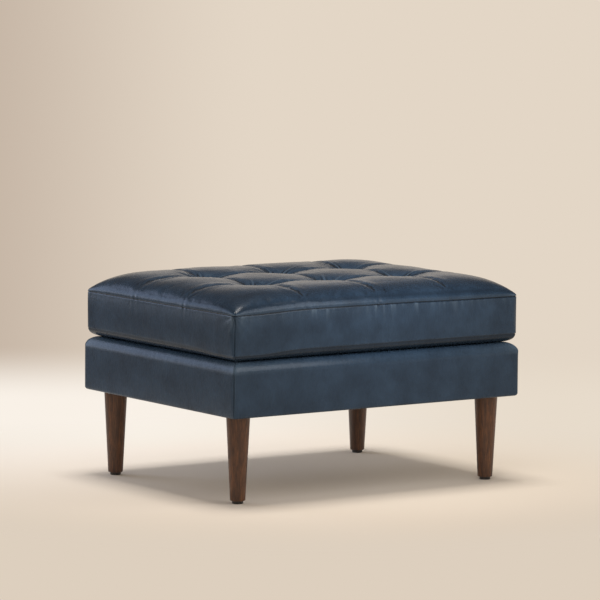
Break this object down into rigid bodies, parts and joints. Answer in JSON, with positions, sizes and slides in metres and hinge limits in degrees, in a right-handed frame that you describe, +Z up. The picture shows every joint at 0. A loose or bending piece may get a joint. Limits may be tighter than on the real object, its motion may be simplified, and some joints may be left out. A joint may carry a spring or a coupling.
{
  "type": "leather ottoman",
  "caption": "Rectangular navy leather ottoman: loose blind-tufted cushion on an upholstered box base with round tapered walnut legs.",
  "frame": {"origin": "on the floor under the middle of the ottoman", "axes": "+X along the long side, +Y from the front long side to the zipped back, +Z up"},
  "size_m": [0.8, 0.63, 0.48],
  "materials": {
    "navy_leather": "semi-aniline cow hide, navy, soft satin sheen with a fine grain",
    "leg_walnut": "ash or beech turned and stained dark walnut, satin lacquer, grain along the leg",
    "frame_timber": "sawn pine and plywood, unfinished",
    "zinc_steel": "zinc plated steel",
    "webbing": "woven jute-coloured upholstery webbing",
    "hessian": "open plain-weave hessian",
    "foam": "cut polyurethane foam, matt",
    "wadding": "polyester wadding, matt white",
    "platform_cloth": "black woven platform cloth",
    "dust_cloth": "black non-woven spun cloth",
    "glide_nylon": "moulded dark nylon, matt",
    "twine": "waxed linen tufting twine",
    "felt": "pressed grey felt",
    "zip_tape": "woven polyester zip tape, navy",
    "zip_coil": "moulded nylon coil, navy",
    "zip_metal": "die-cast zinc, satin nickel"
  },
  "bodies": {
    "base": {"front_rail": "frame_timber", "back_rail": "frame_timber", "left_rail": "frame_timber", "right_rail": "frame_timber", "centre_brace": "frame_timber", "corner_blocks": "frame_timber", "rail_dowels": "frame_timber", "block_screws": "zinc_steel", "tee_nuts": "zinc_steel", "leg_bolts": "zinc_steel", "webbing_lengthwise": "webbing", "webbing_crosswise": "webbing", "hessian_sheet": "hessian", "deck_foam": "foam", "base_wadding": "wadding", "front_cover": "navy_leather", "back_cover": "navy_leather", "left_cover": "navy_leather", "right_cover": "navy_leather", "deck_cloth": "platform_cloth", "dust_cover": "dust_cloth", "front_left_leg": "leg_walnut", "front_right_leg": "leg_walnut", "back_left_leg": "leg_walnut", "back_right_leg": "leg_walnut", "foot_glides": "glide_nylon"},
    "cushion": {"tufted_top": "navy_leather", "front_boxing": "navy_leather", "back_boxing": "navy_leather", "left_boxing": "navy_leather", "right_boxing": "navy_leather", "bottom_panel": "navy_leather", "foam_core": "foam", "fibre_topping": "wadding", "tuft_twines": "twine", "tuft_washers": "felt", "zip_tape": "zip_tape", "zip_coil": "zip_coil"},
    "zip_slider": {"zip_slider": "zip_metal"}
  },
  "joints": [
    {"name": "cushion_lift", "type": "slide", "parent": "base", "child": "cushion", "axis": [0, 0, 1], "range_m": [0, 0.25]},
    {"name": "zip_run", "type": "slide", "parent": "cushion", "child": "zip_slider", "axis": [-1, 0, 0], "range_m": [0, 0.607]}
  ]
}
